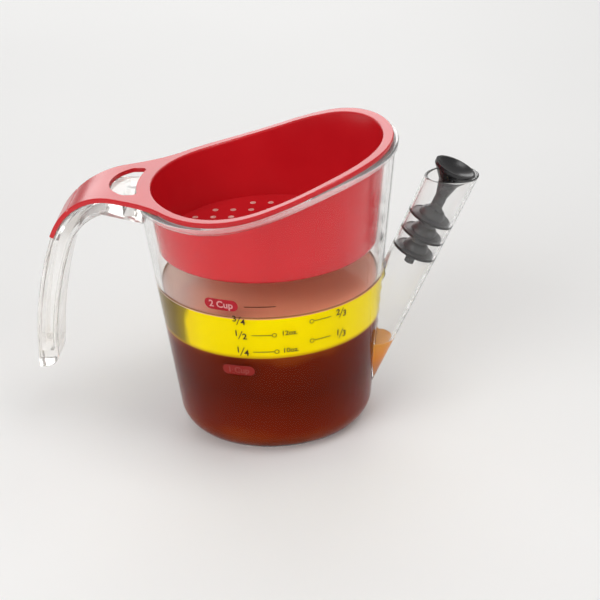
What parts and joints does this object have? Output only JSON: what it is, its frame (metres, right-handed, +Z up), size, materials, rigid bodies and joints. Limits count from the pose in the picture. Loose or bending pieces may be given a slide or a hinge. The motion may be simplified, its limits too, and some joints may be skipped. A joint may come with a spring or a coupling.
{
  "type": "gravy fat separator",
  "caption": "Clear measuring jug with a low-set pouring spout, a stopper that plugs the spout and a lift-out strainer whose tab covers the handle.",
  "frame": {"origin": "centre of the round base, on the surface the jug stands on", "axes": "+Z up; +X towards the pouring spout; -X towards the handle; +Y completes the right-handed frame"},
  "size_m": [0.2025, 0.1156, 0.1354],
  "materials": {
    "jug_clear": "clear moulded plastic, polished",
    "spout_clear": "clear moulded plastic, polished",
    "handle_clear": "clear moulded plastic, polished",
    "strainer_red": "glossy red moulded plastic",
    "stopper_black": "smooth satin black",
    "seal_black": "soft satin black"
  },
  "bodies": {
    "jug": {"jug_body": "jug_clear", "spout_tube": "spout_clear", "handle": "handle_clear"},
    "strainer": {"strainer": "strainer_red"},
    "stopper": {"plunger_stem": "stopper_black", "seal_1": "seal_black", "seal_2": "seal_black", "seal_3": "seal_black"}
  },
  "joints": [
    {"name": "strainer_lift", "type": "slide", "parent": "jug", "child": "strainer", "axis": [0, 0, 1], "range_m": [0, 0.06]},
    {"name": "plunger_pull", "type": "slide", "parent": "jug", "child": "stopper", "axis": [0.4305, 0, 0.9026], "range_m": [0, 0.052]}
  ]
}
